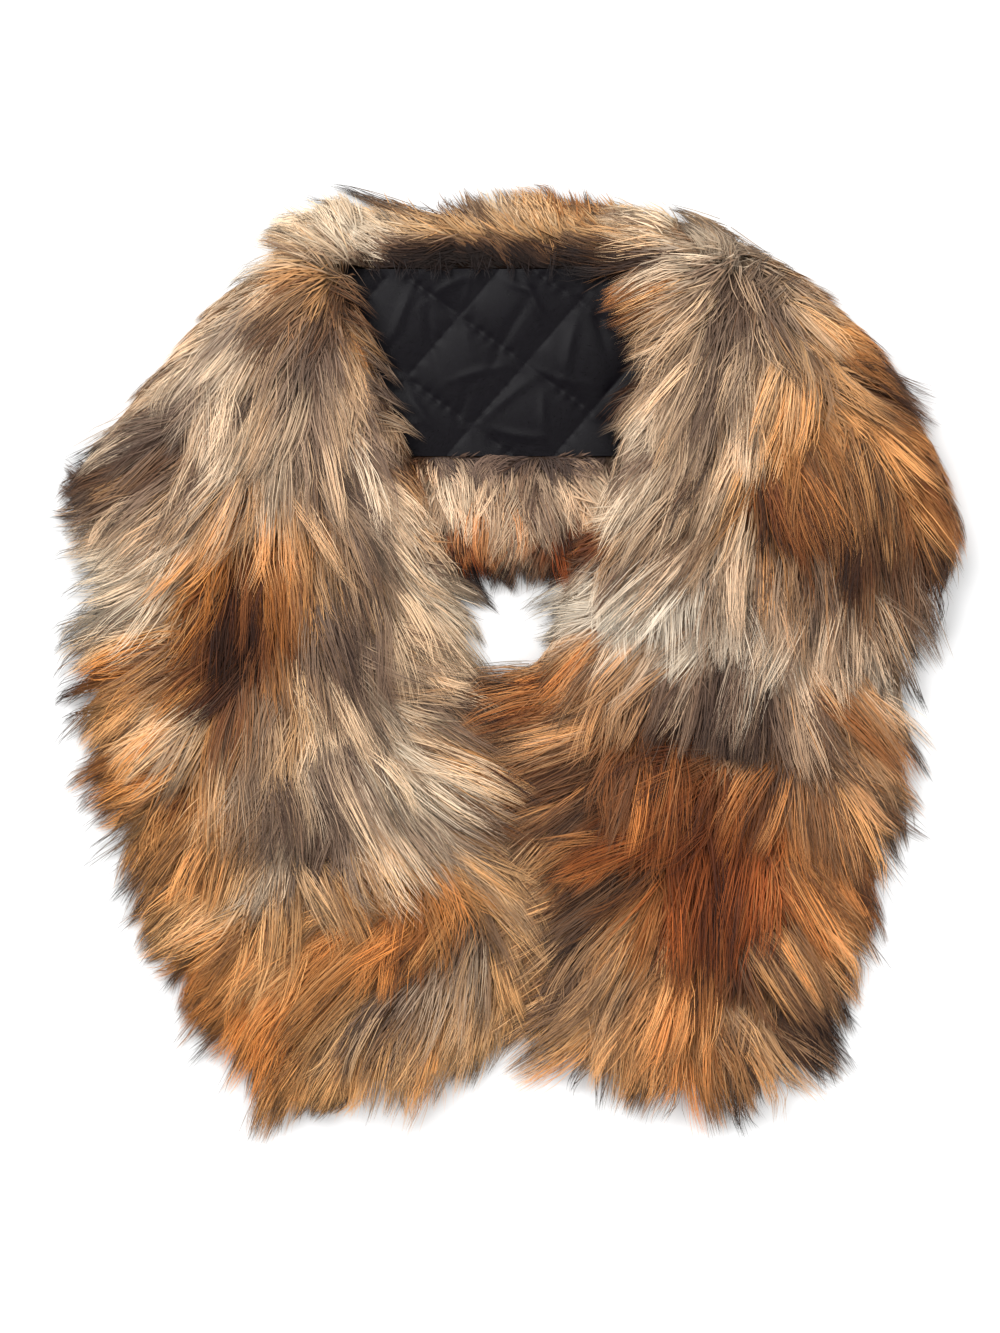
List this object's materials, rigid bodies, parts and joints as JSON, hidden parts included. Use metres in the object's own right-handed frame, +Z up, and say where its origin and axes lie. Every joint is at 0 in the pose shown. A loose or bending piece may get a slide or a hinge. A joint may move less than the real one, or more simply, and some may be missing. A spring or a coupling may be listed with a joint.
{
  "type": "fur collar wrap",
  "caption": "Long-pile faux fur wrap for the neck, laid flat, folded over at both shoulders with its quilted satin lining showing behind the neck.",
  "frame": {"origin": "on the surface that the wrap lies on, under the middle of its bounding box", "axes": "+Z up from the surface, +Y from the hems to the back of the neck, +X to the right as seen from above"},
  "size_m": [0.4934, 0.526, 0.0595],
  "materials": {
    "tan_fur": "long lying faux fur pile, cream and tan with rust, taupe and dark brown patches",
    "black_satin": "black satin lining, quilted in diamonds, soft sheen"
  },
  "bodies": {
    "root": {"fur_back": "tan_fur", "lining_back": "black_satin", "fur_left_front": "tan_fur", "fur_right_front": "tan_fur"}
  },
  "joints": []
}
